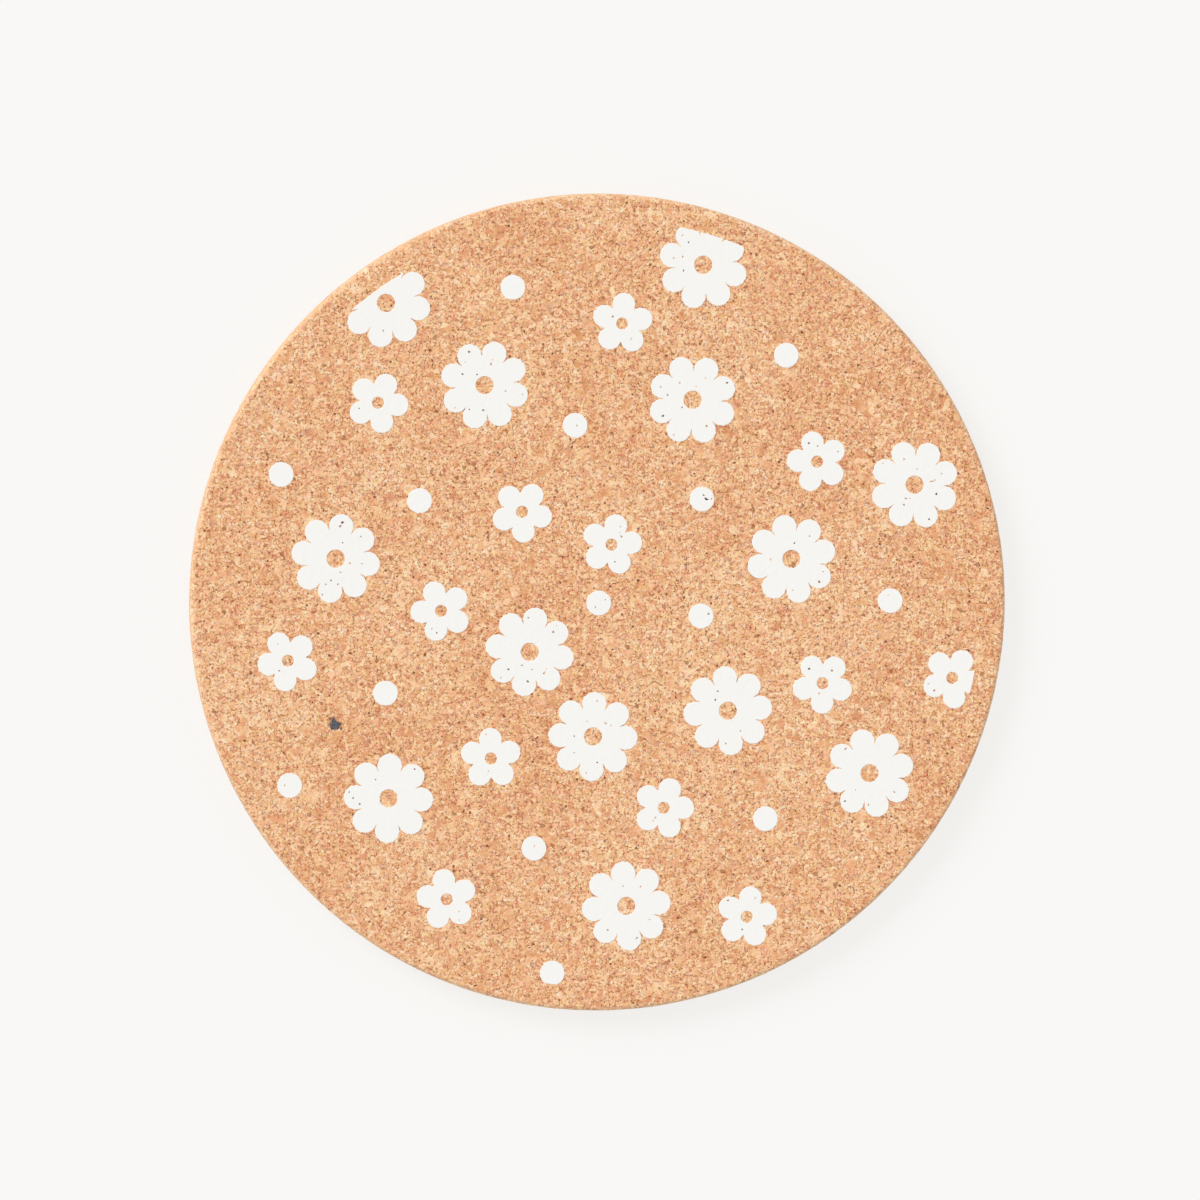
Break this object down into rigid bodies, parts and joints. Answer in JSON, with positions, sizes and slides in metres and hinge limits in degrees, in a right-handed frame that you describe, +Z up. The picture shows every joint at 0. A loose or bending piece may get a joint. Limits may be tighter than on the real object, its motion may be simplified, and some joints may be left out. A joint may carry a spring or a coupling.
{
  "type": "cork placemat",
  "caption": "Round placemat of bonded cork granules with eased edges, printed on its upper face with white daisies, blossoms and dots; it lies flat under a plate.",
  "frame": {"origin": "centre of the underside, on the table", "axes": "+Z up, through the thickness, out of the printed face; X and Y lie in the mat's plane"},
  "size_m": [0.29, 0.29, 0.0102],
  "materials": {
    "cork": "bonded cork granules, sanded flat, matte",
    "white_ink": "opaque white screen-print ink, matte",
    "bark": "dark outer bark, rough"
  },
  "bodies": {
    "root": {"cork_disc": "cork", "bark_flake": "bark", "dot_print_01": "white_ink", "dot_print_02": "white_ink", "dot_print_03": "white_ink", "dot_print_04": "white_ink", "dot_print_05": "white_ink", "dot_print_06": "white_ink", "dot_print_07": "white_ink", "dot_print_08": "white_ink", "dot_print_09": "white_ink", "dot_print_10": "white_ink", "dot_print_11": "white_ink", "dot_print_12": "white_ink", "dot_print_13": "white_ink", "dot_print_14": "white_ink", "blossom_print_01": "white_ink", "blossom_print_02": "white_ink", "blossom_print_03": "white_ink", "blossom_print_04": "white_ink", "blossom_print_05": "white_ink", "blossom_print_06": "white_ink", "blossom_print_07": "white_ink", "blossom_print_08": "white_ink", "blossom_print_09": "white_ink", "blossom_print_10": "white_ink", "blossom_print_11": "white_ink", "blossom_print_12": "white_ink", "blossom_print_13": "white_ink", "daisy_print_01": "white_ink", "daisy_print_02": "white_ink", "daisy_print_03": "white_ink", "daisy_print_04": "white_ink", "daisy_print_05": "white_ink", "daisy_print_06": "white_ink", "daisy_print_07": "white_ink", "daisy_print_08": "white_ink", "daisy_print_09": "white_ink", "daisy_print_10": "white_ink", "daisy_print_11": "white_ink", "daisy_print_12": "white_ink", "daisy_print_13": "white_ink"}
  },
  "joints": []
}
